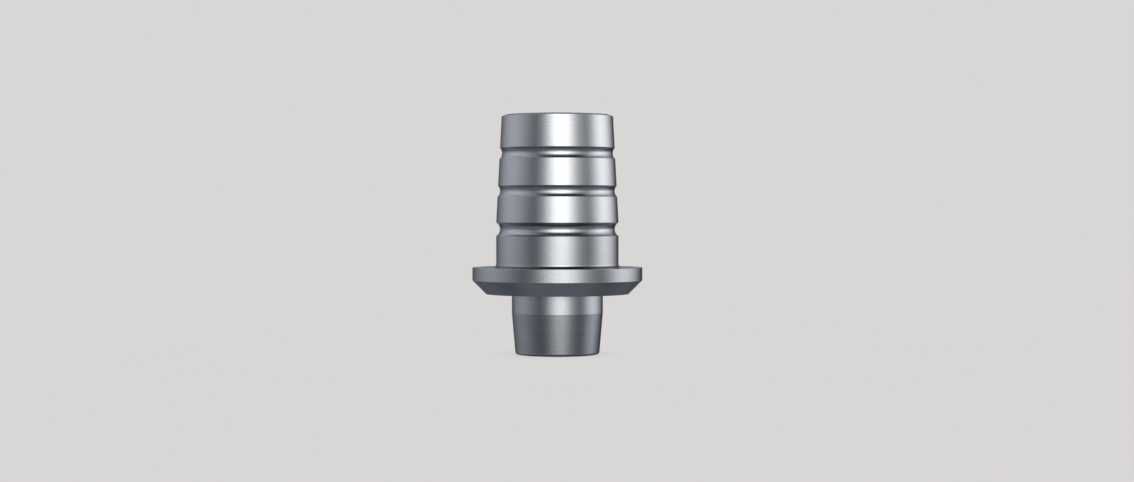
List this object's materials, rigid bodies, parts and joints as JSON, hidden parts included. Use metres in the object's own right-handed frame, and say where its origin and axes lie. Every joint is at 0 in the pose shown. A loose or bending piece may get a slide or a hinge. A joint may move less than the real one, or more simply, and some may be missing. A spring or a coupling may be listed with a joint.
{
  "type": "dental abutment",
  "caption": "Round titanium base abutment: grooved cement chimney over a bevelled flange, tapered post below, and a stepped screw channel right through.",
  "frame": {"origin": "centre of the post's end face, where the part stands", "axes": "+Z along the screw axis, from the post's end to the chimney's mouth; round about it, so X and Y are free"},
  "size_m": [0.0044, 0.0044, 0.0063],
  "materials": {
    "titanium": "satin"
  },
  "bodies": {
    "root": {"abutment": "titanium"}
  },
  "joints": []
}
